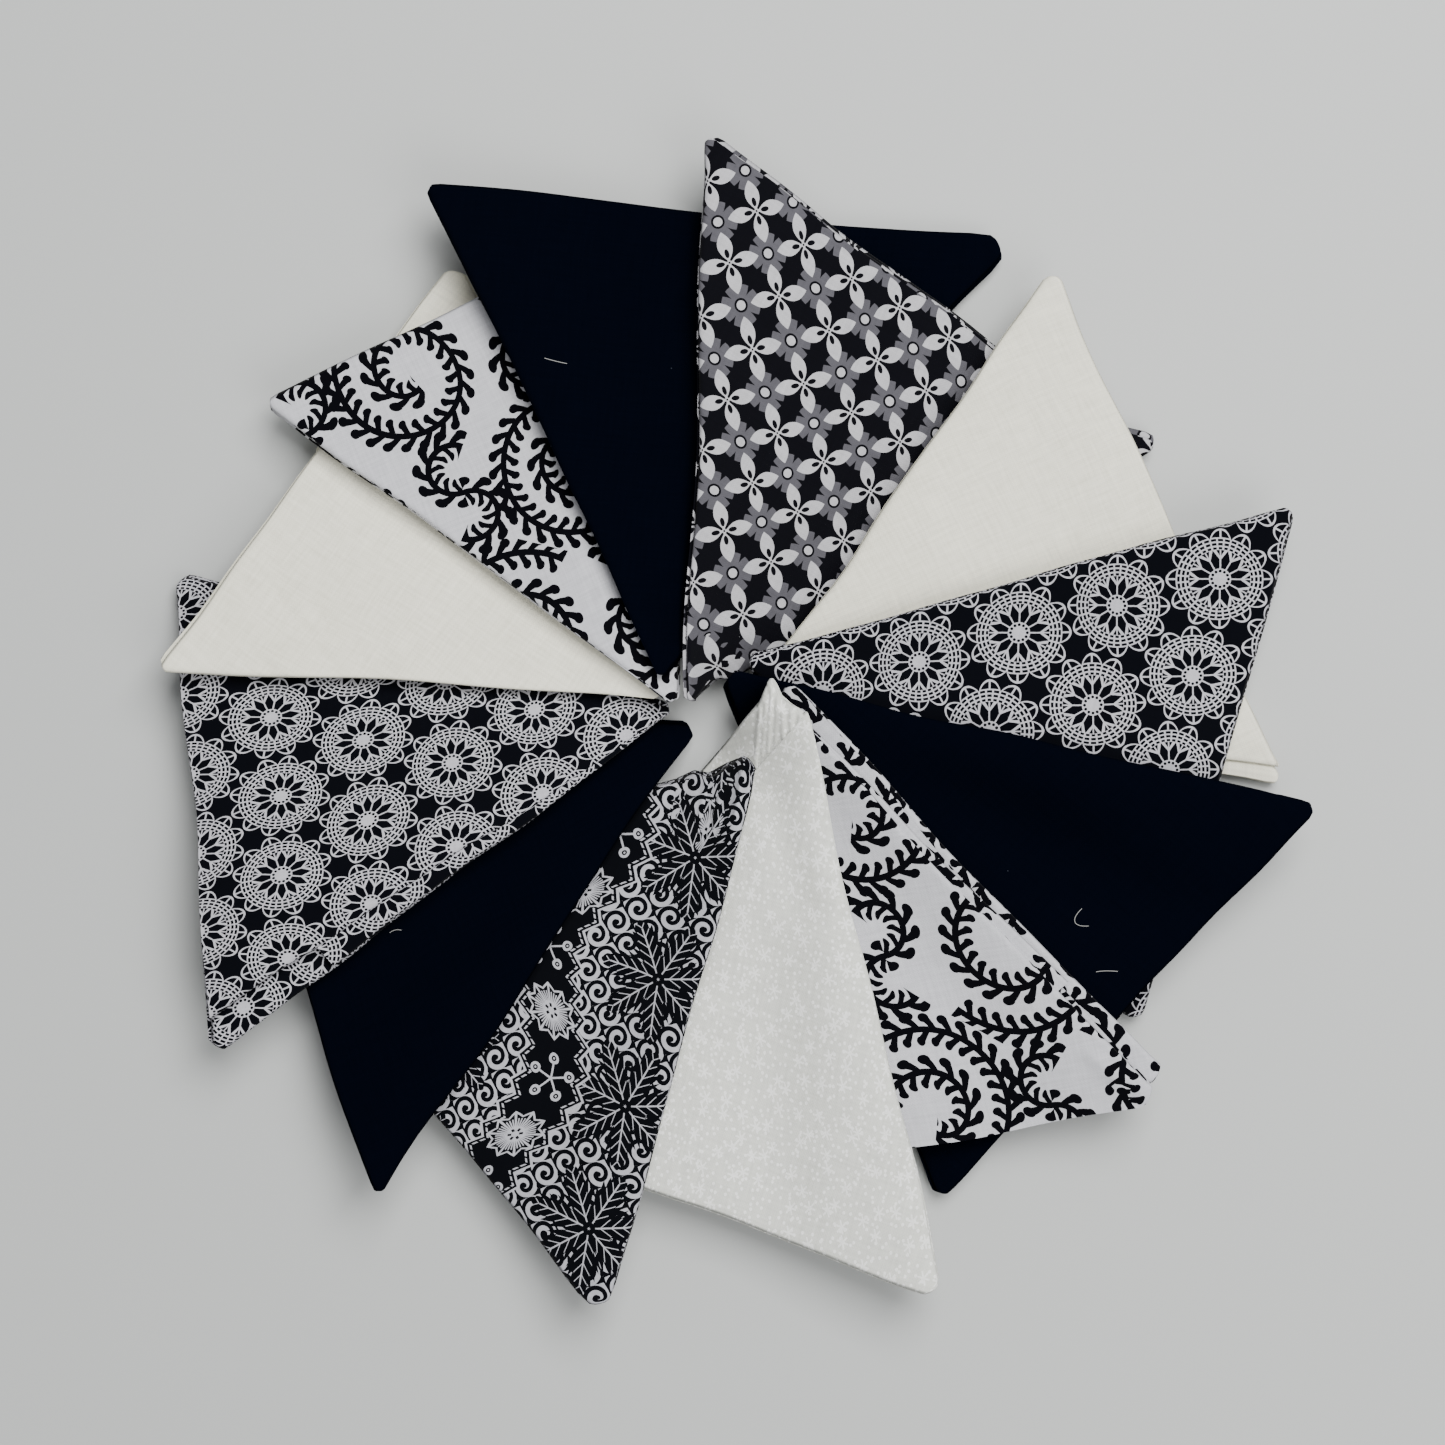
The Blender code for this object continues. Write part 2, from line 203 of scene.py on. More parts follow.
def flat_fat_quarter(edge):
    """The sheet laid flat, with a row of points along every fold and a finer mesh where it shows."""
    bm = bmesh.new()
    columns = math.ceil(LONG_SIDE / (2 * HALF_TURN) * CELLS) + CELLS
    bmesh.ops.create_grid(bm, x_segments=columns, y_segments=CELLS, size=0.5)
    for vert in bm.verts:
        s = (vert.co.y + 0.5) * STRIP
        column = round((vert.co.x + 0.5) * columns)
        lean = s if edge == "cut" else STRIP - s
        vert.co = (FIRST_CORNER + 2 * HALF_TURN * column / CELLS + lean / STRIP * HALF_TURN, s, 0)
    bmesh.ops.triangulate(bm, faces=bm.faces[:], quad_method="SHORT_EDGE")

    def cut(point, normal, clear=False):
        geometry = bm.verts[:] + bm.edges[:] + bm.faces[:]
        bmesh.ops.bisect_plane(bm, geom=geometry, dist=MERGE_WITHIN, plane_co=point, plane_no=normal,
                               clear_outer=clear)

    cut((0, 0, 0), (-1, 0, 0), clear=True)
    cut((LONG_SIDE, 0, 0), (1, 0, 0), clear=True)
    for line in range(FIRST_TURN + 1, LAST_TURN + 2):
        start, end = Vector((fold_x(line, 0, edge), 0, 0)), Vector((fold_x(line, STRIP, edge), STRIP, 0))
        along = (end - start).normalized()
        normal = Vector((along.y, -along.x, 0))
        if line > LAST_TURN:
            cut(start, normal, clear=True)
        else:
            for offset in FOLD_ROWS:
                cut(start + normal * offset, normal)
    for offset in FOLD_ROWS[2:]:
        cut((0, offset, 0), (0, 1, 0))
        cut((0, STRIP - offset, 0), (0, 1, 0))
    top_quarter = 3 if edge == "cut" else 2
    strip = bm.faces[:]
    for quarter in range(1, 4):
        copied = bmesh.ops.duplicate(bm, geom=strip)["geom"]
        for vert in [part for part in copied if isinstance(part, bmesh.types.BMVert)]:
            s = vert.co.y if quarter % 2 == 0 else STRIP - vert.co.y
            vert.co.y = quarter * STRIP + s
    bmesh.ops.remove_doubles(bm, verts=bm.verts[:], dist=MERGE_WITHIN)
    for face in bm.faces:
        if face.normal.z < 0:
            face.normal_flip()
    showing, gathered = [], []
    for each in bm.edges:
        x, y = sum((vert.co.x for vert in each.verts)) / 2, sum((vert.co.y for vert in each.verts)) / 2
        quarter = int(min(y // STRIP, 3))
        s = y - quarter * STRIP if quarter % 2 == 0 else (quarter + 1) * STRIP - y
        if quarter != top_quarter:
            continue
        for turn, corner in SEEN_TURNS.items():
            if fold_x(turn, s, edge) < x < fold_x(turn + 1, s, edge):
                tip_x, far_side = FIRST_CORNER + HALF_TURN * corner, (corner % 2 == 1) == (edge == "cut")
                from_tip = math.hypot(x - tip_x, s - STRIP * far_side)
                if from_tip < TIP_REACH and each.calc_length() > FINE_EDGE:
                    gathered.append(each)
                elif turn == 8 and each.calc_length() > SHOWING_EDGE:
                    showing.append(each)
    bmesh.ops.subdivide_edges(bm, edges=showing, cuts=TOP_CUTS, use_grid_fill=True)
    bmesh.ops.subdivide_edges(bm, edges=gathered, cuts=TIP_CUTS, use_grid_fill=True)
    bmesh.ops.triangulate(bm, faces=[face for face in bm.faces if len(face.verts) > 4])
    for face in bm.faces:
        face.smooth = True
    mesh = bpy.data.meshes.new("flat_fat_quarter_" + edge)
    bm.to_mesh(mesh)
    bm.free()
    return mesh


def rounded(distance, own, other, widest):
    """Bend plies over a fold: how far each point moves inwards, and how many plies up or down."""
    radius = np.maximum(np.abs(other - own) / 2, 1e-3) * PLY
    arc = math.pi / 2 * radius
    angle = math.pi / 2 * np.clip(1 - distance / arc, 0, 1)
    settled = 1 - np.exp(-np.clip(distance - arc, 0, None) / FOLD_REACH)
    inwards = widest * PLY - radius * np.sin(angle) + (arc - widest * PLY) * settled
    return inwards - np.minimum(distance, arc), (other - own) / 2 * (1 - np.cos(angle))


def ply_level(turn, quarter, edge):
    """A ply's place in the stack. Every second turn of the strip lies the other way up."""
    in_strip = np.array(PLY_ORDER[edge])[quarter]
    stacked = np.array([STACKED.get(t, 0) for t in range(LAST_TURN + 2)])[turn]
    return 4 * stacked + np.where(turn % 2 == 0, in_strip, 3 - in_strip)


def folded(flat_x, flat_y, place, edge, seed, top_moved, turned_over):
    """Where each point of the flat sheet goes: its x and y, and its ply counted from the bottom."""
    quarter = np.clip(flat_y // STRIP, 0, 3).astype(int)
    s = np.where(quarter % 2 == 0, flat_y - quarter * STRIP, (quarter + 1) * STRIP - flat_y)
    crossed = np.array([flat_x - fold_x(line, s, edge) for line in range(LAST_TURN + 2)])
    turn = np.clip(np.sum(crossed >= 0, axis=0) - 1, FIRST_TURN, LAST_TURN)
    every = np.arange(len(turn))
    slant = math.sin(math.radians(60))
    back, ahead = crossed[turn, every] * slant, -crossed[turn + 1, every] * slant
    side = STRIP - back - ahead
    corners = place["corners"]
    strays = np.random.default_rng(seed).normal(0, STRAY, (LAST_TURN + 3, 2))
    strays[8:11] = np.array(top_moved)[[2, 0, 1]] * MM
    laid = np.array([corners[i % 3] for i in range(LAST_TURN + 3)]) + strays
    spots = sum(laid[turn + offset] * (share / STRIP)[:, None]
                for offset, share in enumerate((ahead, side, back)))
    unfolding = np.where(turn == 7, back / np.maximum(back + ahead, 1e-9), turn > 7)

    own = ply_level(turn, quarter, edge)
    plies = own.astype(float)
    doubled = np.where(s > STRIP / 2, quarter ^ 1, np.array((0, 2, 1, 3))[quarter])
    for offset, distance, other, widest in (
        (0, ahead, ply_level(turn + 1, quarter, edge), TURN_BEND),
        (2, back, ply_level(turn - 1, quarter, edge), TURN_BEND),
        (1, side, ply_level(turn, doubled, edge), SIDE_BEND),
    ):
        toward = (turn + offset) % 3
        inward = np.array([inward_from_side(corners, corner) for corner in range(3)])[toward]
        ends = {0: turn < LAST_TURN, 2: turn > FIRST_TURN, 1: doubled != quarter}[offset]
        widest = np.where((offset != 1) & (np.abs(other - own) > 7), LOOSE_END_BEND, widest)
        move, rise = rounded(distance, own, other, widest)
        spots += inward * np.where(ends, move, 0)[:, None]
        plies += np.where(ends, rise, 0)
    for corner, width in enumerate(place["blunts"]):
        middle = corners[corner] - (corners[(corner + 1) % 3] + corners[(corner + 2) % 3]) / 2
        outward = middle / np.linalg.norm(middle)
        depth = width * MM * 0.87
        spots = turned_in(spots, corners[corner] - outward * depth, outward, depth * BLUNT_KEPT)
    for point, outward, kept, top_only in turned_over:
        tucked = turned_in(spots, np.array(point) * MM, np.array(outward), kept * MM)
        spots += (tucked - spots) * (unfolding[:, None] if top_only else 1)
    return spots, np.clip(plies, 0, PLIES - 1)


def inward_from_side(corners, corner):
    """The direction square to the side that faces a corner, towards that corner."""
    start, end = corners[(corner + 1) % 3], corners[(corner + 2) % 3]
    along = (end - start) / np.linalg.norm(end - start)
    square = np.array((-along[1], along[0]))
    return square if square @ (corners[corner] - start) > 0 else -square


def turned_in(spots, point, outward, kept):
    """Push the cloth that lies past a line back to it, where only the share kept still stands out."""
    past = (spots - point) @ outward
    standing = kept * (1 - np.exp(-np.clip(past, 0, None) / kept))
    return spots - outward * np.where(past > 0, past - standing, 0)[:, None]


def pushed(spots, pushes):
    """Push the cloth aside, most at a point and less further off. Each push is a point, a reach and a
    move, in mm."""
    for point, reach, move in pushes:
        away = np.linalg.norm(spots - np.array(point) * MM, axis=1)
        spots = spots + np.exp(-(away / (reach * MM)) ** 2)[:, None] * np.array(move) * MM
    return spots


def swell(x, y, seed, swells=SWELLS):
    """Soft unevenness of a pressed cloth, as a height in metres."""
    rng = np.random.default_rng(seed)
    height = np.zeros(len(x))
    for length, amount in swells:
        turned, phase = rng.uniform(0, 2 * math.pi, 2)
        across = x * math.cos(turned) + y * math.sin(turned)
        height += amount * MM * np.sin(across * 2 * math.pi / (length * MM) + phase)
    return height


def creased(x, y, creases):
    """Height of soft ridges and troughs, each given by its two ends, width and height in mm."""
    height = np.zeros(len(x))
    for start, end, width, amount in creases:
        start, end = np.array(start) * MM, np.array(end) * MM
        along = end - start
        share = np.clip(((x - start[0]) * along[0] + (y - start[1]) * along[1]) / (along @ along), 0, 1)
        away = np.hypot(x - start[0] - share * along[0], y - start[1] - share * along[1])
        height += amount * MM * np.exp(-(away / (width * MM)) ** 2)
    return height


flat_sheets = {}


def make_fat_quarter(name, edge, cut_at=(0, 0), turned=0, creases=(), pleats=(), pleated_ply=PLIES - 1,
                     top_moved=((0, 0),) * 3, turned_over=(), pushes=()):
    """Fold one fat quarter on to its place. cut_at and turned say where on the bolt it was cut, and the
    rest what the hand that laid it did: soft creases right through it, sharp pleats in one ply, corners of
    the top turn moved, cloth turned over past a line, given by a point, the way out, how much still stands
    out and whether only on top, and cloth pushed aside."""
    place = PLACES[name]
    order = NAMES.index(name)
    if edge not in flat_sheets:
        flat_sheets[edge] = flat_fat_quarter(edge)
    mesh = flat_sheets[edge].copy()
    mesh.name = name
    flat = np.zeros(len(mesh.vertices) * 3)
    mesh.vertices.foreach_get("co", flat)
    flat = flat.reshape(-1, 3)
    spots, plies = folded(flat[:, 0], flat[:, 1], place, edge, order, top_moved, turned_over)
    x, y = spots[:, 0], spots[:, 1]
    wander = np.stack((swell(x, y, order + 20, WANDERS), swell(x, y, order + 40, WANDERS)), axis=1)
    x, y = pushed(spots + wander, pushes).T
    share = (plies + 0.5) / PLIES
    uneven = swell(x, y, order) + creased(x, y, creases) * share ** 2
    z = sampled(heights[order], x, y) + share * (sampled(depths[order], x, y) + uneven)
    z += creased(x, y, pleats) * np.clip(1 - np.abs(plies - pleated_ply) / 2, 0, 1)
    mesh.vertices.foreach_set("co", np.stack((x, y, z), axis=1).ravel())
    corner_points = np.zeros(len(mesh.loops), int)
    mesh.loops.foreach_get("vertex_index", corner_points)
    angle = math.radians(turned)
    along = flat[:, 0] * math.cos(angle) - flat[:, 1] * math.sin(angle) + cut_at[0] * MM
    across = flat[:, 0] * math.sin(angle) + flat[:, 1] * math.cos(angle) + cut_at[1] * MM
    layer = mesh.uv_layers.new(name="cloth")
    layer.data.foreach_set("uv", np.stack((along, across), axis=1)[corner_points].ravel())
    mesh.update()
    piece = bpy.data.objects.new(name, mesh)
    bpy.context.scene.collection.objects.link(piece)
    return piece


def declare(piece, threads=()):
    """Ride and replacement of one folded fat quarter, and the threads that lie on it."""
    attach(piece, "root")
    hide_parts(PLACES[piece.name]["node"])
    for loose in threads:
        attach(loose, "root")


def srgb(code):
    """An sRGB hex colour as linear red, green and blue."""
    parts = [int(code[i:i + 2], 16) / 255 for i in (1, 3, 5)]
    return [c / 12.92 if c <= 0.04045 else ((c + 0.055) / 1.055) ** 2.4 for c in parts] + [1.0]


def add(tree, kind, settings=(), links=()):
    """Add one node with its settings and links. A setting named after a socket goes on that socket."""
    node = tree.nodes.new(kind)
    for name, value in dict(settings).items():
        if isinstance(name, int) or name in node.inputs:
            node.inputs[name].default_value = value
        else:
            setattr(node, name, value)
    for name, source in dict(links).items():
        tree.links.new(source, node.inputs[name])
    return node


class Field:
    """A number that varies over the cloth. Working with fields adds the Math nodes for it."""

    def __init__(self, tree, socket):
        self.tree, self.socket = tree, socket

    def take(self, operation, *others):
        settings, links = {"operation": operation}, {}
        for index, value in enumerate((self,) + others):
            if isinstance(value, Field):
                links[index] = value.socket
            else:
                settings[index] = value
        return Field(self.tree, add(self.tree, "ShaderNodeMath", settings, links).outputs[0])

    def __add__(self, other):
        return self.take("ADD", other)

    def __sub__(self, other):
        return self.take("SUBTRACT", other)

    def __mul__(self, other):
        return self.take("MULTIPLY", other)

    def __truediv__(self, other):
        return self.take("DIVIDE", other)

    def __lt__(self, other):
        return self.take("LESS_THAN", other)

    def __gt__(self, other):
        return self.take("GREATER_THAN", other)

    def __abs__(self):
        return self.take("ABSOLUTE")

    def __and__(self, other):
        return self.take("MULTIPLY", other)

    def __or__(self, other):
        return self.take("MAXIMUM", other)

    def __invert__(self):
        return (self * -1) + 1

    def repeated(self, pitch):
        """The same number measured from the middle of its own repeat."""
        return self.take("WRAP", pitch / 2, -pitch / 2)


def nearest_repeat(u, v, wide, high):
    """Place measured from the nearest point of a repeat that has points at its corners and its middle."""
    a, b = u.repeated(wide), v.repeated(high)
    c, d = (u + wide / 2).repeated(wide), (v + high / 2).repeated(high)
    near = (a * a + b * b) < (c * c + d * d)
    return c + (a - c) * near, d + (b - d) * near


def polar(x, y):
    return (x * x + y * y).take("SQRT"), y.take("ARCTAN2", x)


THREAD_PITCH = 0.72                 # mm, twice the real 70 threads to the inch, which is too fine to show
SLUB = 9.0                          # mm, length of a thick stretch of thread
INK_WOBBLE = 0.05                   # mm, how far the weave carries the edge of the ink


def on_the_bolt(tree):
    """Place on the flat cloth in mm, along and across, a little uneven as ink on a weave is."""
    flat = add(tree, "ShaderNodeUVMap", {"uv_map": "cloth"})
    in_mm = add(tree, "ShaderNodeMapping", {"Scale": (1000, 1000, 1000)}, {"Vector": flat.outputs[0]})
    grain = add(tree, "ShaderNodeTexNoise", {"Scale": 1.6, "Detail": 1.0}, {"Vector": in_mm.outputs[0]})
    moved = add(tree, "ShaderNodeVectorMath", {"operation": "MULTIPLY_ADD", 1: (INK_WOBBLE * 2,) * 3},
                {0: grain.outputs["Color"], 2: in_mm.outputs[0]})
    parts = add(tree, "ShaderNodeSeparateXYZ", {}, {0: moved.outputs[0]})
    return Field(tree, parts.outputs[0]), Field(tree, parts.outputs[1]), in_mm.outputs[0]


def dye(tree, ground, inks):
    """The ground colour with each ink printed over it where its mask is one."""
    colour = add(tree, "ShaderNodeRGB")
    colour.outputs[0].default_value = srgb(ground)
    colour = colour.outputs[0]
    for mask, ink in inks:
        printed = add(tree, "ShaderNodeMix", {"data_type": "RGBA", 7: srgb(ink)},
                      {0: mask.socket, 6: colour})
        colour = printed.outputs[2]
    return colour


def cotton(name, print_on, specular=0.05, sheen=0.03):
    """Plain-woven quilting cotton. Its threads show as fine ribs both ways, with thicker stretches,
    and its matt surface is brightest where short fibres catch a low light. The ribs are a bump
    with painted shade in the hollows between the thread crowns."""
    material = bpy.data.materials.new(name)
    material.use_nodes = True
    tree = material.node_tree
    tree.nodes.clear()
    u, v, in_mm = on_the_bolt(tree)
    colour = print_on(tree, u, v, in_mm)
    slubs = []
    for across, along in ((1 / THREAD_PITCH, 1 / SLUB), (1 / SLUB, 1 / THREAD_PITCH)):
        drawn = add(tree, "ShaderNodeMapping", {"Scale": (across, along, 1)}, {"Vector": in_mm})
        threads = add(tree, "ShaderNodeTexNoise", {"Scale": 1.0, "Detail": 2.0},
                      {"Vector": drawn.outputs[0]})
        slubs.append(Field(tree, threads.outputs[0]))
    uneven = slubs[0] + slubs[1] - 1
    per_thread = 2 * math.pi / THREAD_PITCH
    weave_height_and_shade = (u * per_thread).take("SINE") * (v * per_thread).take("SINE")
    # painted shade: the weave term lightens the thread crowns and darkens the hollows between them in the
    # colour; the slub term is the threads' own uneven tone
    shade = uneven * 0.30 + weave_height_and_shade * 0.035 + 1
    toned = add(tree, "ShaderNodeVectorMath", {"operation": "SCALE"}, {0: colour, "Scale": shade.socket})
    relief = weave_height_and_shade * 0.35 + uneven * 1.3
    bump = add(tree, "ShaderNodeBump", {"Strength": 0.5, "Distance": 0.00006}, {"Height": relief.socket})
    surface = add(tree, "ShaderNodeBsdfPrincipled",
                  {"Roughness": 0.9, "Sheen Weight": sheen, "Sheen Roughness": 0.5,
                   "Specular IOR Level": specular},
                  {"Base Color": toned.outputs[0], "Normal": bump.outputs[0]})
    add(tree, "ShaderNodeOutputMaterial", {}, {"Surface": surface.outputs[0]})
    return material


PETAL_REPEAT = 13.85                # mm


def petal_print(tree, u, v, in_mm):
    """White flowers of four pointed petals, whose tips meet on a grey flower of eight blunt petals."""
    a, b = abs(u.repeated(PETAL_REPEAT)), abs(v.repeated(PETAL_REPEAT))
    along, beside = (a + b) * 0.7071, abs(a - b) * 0.7071
    bulge = (along - 3.85) / 3.45
    petal = (beside < (bulge * bulge * -1 + 1) * 1.75) | ((beside < 0.3) & (along < 1.6))
    seed_along, seed_beside = (along - 2.15) / 1.05, beside / 0.56
    seed = (seed_along * seed_along + seed_beside * seed_beside) < 1
    eye = along < 0.22
    far_a, far_b = a * -1 + PETAL_REPEAT / 2, b * -1 + PETAL_REPEAT / 2
    from_flower = (far_a * far_a + far_b * far_b).take("SQRT")
    round_flower = far_b.take("ARCTAN2", far_a)
    lobe = abs((round_flower + math.pi / 8).repeated(math.pi / 4))
    grey = from_flower < (lobe - 0.26).take("MAXIMUM", 0) * -16.0 + 4.7
    return dye(tree, "#08080D", ((grey, "#504F54"), (petal, "#ABAAAD"), (seed | eye, "#08080D"),
                                 (from_flower < 1.6, "#08080D"), (from_flower < 1.08, "#ABAAAD")))


petal_cotton = cotton("printed_cotton_petal", petal_print)
piece = make_fat_quarter("petal_fat_quarter_1", "cut", cut_at=(13.1, 7.3), turned=-3.6,
                         top_moved=((0, 0), (-1.4, -2.0), (-0.7, -1.0)),
                         pushes=(((-6.2, 8.8), 3.4, (-0.4, 2.4)), ((0.4, 13.0), 2.4, (-0.3, -0.5)),
                                 ((96, 65), 8, (4.4, 3.2)), ((-7, 138), 6, (-0.6, 0.8))))
piece.data.materials.append(petal_cotton)
declare(piece)

# Fat quarters 2 and 10, cream
# Plain-woven cotton dyed one solid cream, so that only its threads, folds and soft creases show.
# The first has small pleats where it was turned at its right corner, the second a few drag marks.


def solid_cream(tree, u, v, in_mm):
    return dye(tree, "#E5E2D0", ())


cream_cotton = cotton("piece_dyed_cotton_cream", solid_cream)
piece = make_fat_quarter("cream_fat_quarter_2", "folded", top_moved=((0, 0), (-1, 4.2), (0, 0)),
                         pushes=(((131, -17), 5, (1.8, -1.0)), ((76, 105), 8, (0, 1.4))),
                         creases=(((119, -15), (131, -18.5), 1.4, 1.1), ((112, -4), (128, -9), 3, -0.5)))
piece.data.materials.append(cream_cotton)
declare(piece)
piece = make_fat_quarter("cream_fat_quarter_10", "folded", creases=(
    ((-111, 30), (-97, 13), 2.6, -0.55), ((-103, 29), (-88, 13), 2.2, -0.45),
    ((-119, 26), (-107, 13), 2.6, 0.5), ((-60, 14), (-22, 7), 3.0, -0.5)))
piece.data.materials.append(cream_cotton)
declare(piece)

# Fat quarters 3 and 9, doily print
# Cotton printed with pale lace doilies that just touch, on a navy black ground. On the second, the
# corner of the top turn was laid short of the corner below it.
DOILY_ACROSS = 23.6                 # mm, from one doily to the next in a row
DOILY_ROWS = 40.8                   # mm, two rows


def doily_print(tree, u, v, in_mm):
    """Lace doilies: a solid middle, twelve long holes, three rings of small holes and twelve arches."""
    twelfth = math.pi / 6
    r, turn = polar(*nearest_repeat(u, v, DOILY_ROWS, DOILY_ACROSS))
    turn = turn + twelfth / 2
    angle = abs(turn.repeated(twelfth))
    beside = angle * r
    between = abs((turn + twelfth / 2).repeated(twelfth)) * r
    small = abs(turn.repeated(twelfth / 3)) * r
    arch = angle / (twelfth / 2)
    edge = (arch * arch * -1 + 1) * 2.45 + 9.45
    holes = (between < (r * 0.262 - 0.17).take("MINIMUM", r * -0.47 + 3.25)) & (r > 2.5)
    ring_step = r - 1.9
    dots = ring_step * ring_step + beside * beside < 0.12
    eyelets = (abs(r - 6.2) < 0.65) & (beside < (r - 5.2) * 0.6) & (beside > 0.15)
    bars = ((abs(r - 7.25) < 0.28) & (small < 0.42)) | ((abs(r - 8.2) < 0.3) & (small < 0.53))
    bars = bars | ((abs(r - 9.15) < 0.29) & (small < 0.6))
    loops = (r > 9.75) & (r < edge - 0.5) & (beside > 0.2)
    lace = (r < edge) & ~(holes | dots | eyelets | bars | loops)
    return dye(tree, "#030409", ((lace, "#AEADB2"),))


doily_cotton = cotton("printed_cotton_doily", doily_print)
piece = make_fat_quarter("doily_fat_quarter_3", "folded", cut_at=(4, 7), turned=90)
piece.data.materials.append(doily_cotton)
declare(piece)
piece = make_fat_quarter("doily_fat_quarter_9", "cut", cut_at=(9, 3), turned=90,
                         top_moved=((0, 0), (0, 0), (-1, 9)))
piece.data.materials.append(doily_cotton)
declare(piece)

# Fat quarters 4, 8 and 12, navy
# Plain-woven cotton dyed a navy so deep that it reads as black. It takes up pale lint, and a few
# snipped ends of white thread lie on it.
LINT_SPACING = 8.0                  # mm, between places where a speck may lie
LINT_SIZE = 0.035
LINT_MISSED = 0.8                   # share of those places that are clean


def solid_navy(tree, u, v, in_mm):
    specks = add(tree, "ShaderNodeTexVoronoi", {"Scale": 1 / LINT_SPACING}, {"Vector": in_mm})
    chance = add(tree, "ShaderNodeSeparateColor", {}, {0: specks.outputs["Color"]})
    near, kept = Field(tree, specks.outputs["Distance"]), Field(tree, chance.outputs[0])
    lint = (near < LINT_SIZE) & (kept > LINT_MISSED)
    return dye(tree, "#02040C", ((lint, "#2C3038"),))


NAVY_THREADS = {                    # where snipped ends lie on each, in mm
    "navy_fat_quarter_4": (((86.0, -59.6), (88.2, -59.2), (91.2, -59.5)),
                           ((82.6, -44.4), (80.5, -46.4), (81.3, -48.8), (84.2, -48.6))),
    "navy_fat_quarter_8": (((-83.4, -50.2), (-82.1, -49.2), (-80.6, -49.6)),),
    "navy_fat_quarter_12": (((-46.0, 87.0), (-43.2, 86.2), (-40.7, 85.8)),),
}
NAVY_PUSHES = {"navy_fat_quarter_12": (((60, 114), 12, (3.8, 1.0)),)}   # its right corner stands out
THREAD_RADIUS = 0.08 * MM


def matt_fibre(name, code):
    """Spun cotton thread, matt and soft-edged."""
    material = bpy.data.materials.new(name)
    material.use_nodes = True
    surface = material.node_tree.nodes["Principled BSDF"]
    surface.inputs["Base Color"].default_value = srgb(code)
    surface.inputs["Roughness"].default_value = 0.9
    return material


def loose_thread(name, points, material):
    """A snipped end of thread that lies on a fat quarter through the points given, in mm."""
    order = NAMES.index(name)
    x, y = np.array(points).T * MM
    top = sampled(heights[order], x, y) + sampled(depths[order], x, y) + swell(x, y, order)
    z = top + 2 * THREAD_RADIUS
    curve = bpy.data.curves.new("loose_thread_on_" + name, "CURVE")
    curve.dimensions = "3D"
    curve.bevel_depth = THREAD_RADIUS
    curve.bevel_resolution = 1
    curve.resolution_u = 5
    spline = curve.splines.new("NURBS")
    spline.points.add(len(points) - 1)
    for point, spot in zip(spline.points, zip(x, y, z)):
        point.co = (*spot, 1)
    spline.use_endpoint_u = True
    spline.order_u = 3
    curve.materials.append(material)
    thread = bpy.data.objects.new(curve.name, curve)
    bpy.context.scene.collection.objects.link(thread)
    return thread


white_thread = matt_fibre("spun_cotton_thread_white", "#9C9C99")
navy_cotton = cotton("piece_dyed_cotton_navy", solid_navy, specular=0.01, sheen=0.0)
for name in ("navy_fat_quarter_4", "navy_fat_quarter_8", "navy_fat_quarter_12"):
    piece = make_fat_quarter(name, "folded", pushes=NAVY_PUSHES.get(name, ()))
    piece.data.materials.append(navy_cotton)
    declare(piece, [loose_thread(name, points, white_thread) for points in NAVY_THREADS[name]])

# Fat quarters 5 and 11, vine print
# Cotton printed in black on cool white with vines that curl into spirals. On the first, the top turn
# was laid 5 mm short of the turns below it, which show as a second fold beside its own.
VINE_PITCH = (73.0, 59.0)           # mm, from one spiral to the next along and across; another lies between
VINE_COIL = 10.2                    # mm, between the turns of a spiral
LEAFLET_STEP = 3.9                  # mm, from one leaflet to the next along a stem
LEAFLET_REACH = 2.9                 # mm, from the middle of the stem to the round end of a leaflet
LEAFLET_LEAN = 0.8                  # how far it leans forwards
STEM_HALF = 0.78                    # mm
VINE_BRANCHES = (                   # centre, radius, and first and last angle in turns
    (-3.4, 1.0, 6.4, 0.0, 0.62),
    (9.4, 1.0, 6.4, 0.5, 1.12),
)


def leafy(beside, along):
    """Mask of a stem with club-shaped leaflets that lean forwards on both sides of it."""
    out = abs(beside)
    step = (along + (beside > 0) * (LEAFLET_STEP * 0.42) - out * LEAFLET_LEAN).repeated(LEAFLET_STEP)
    stalk = (abs(step) < out * 0.18 + 0.7) & (out < LEAFLET_REACH)
    tip = out - LEAFLET_REACH
    lean = step + tip * LEAFLET_LEAN
    return (out < STEM_HALF) | stalk | (tip * tip + lean * lean < 1.35)


def nearest_mirrored(a, b, c, d):
    """The nearer of two places, a b and c d, with the second one seen in a mirror."""
    near = (a * a + b * b) < (c * c + d * d)
    return (a + c) * near - c, d + (b - d) * near


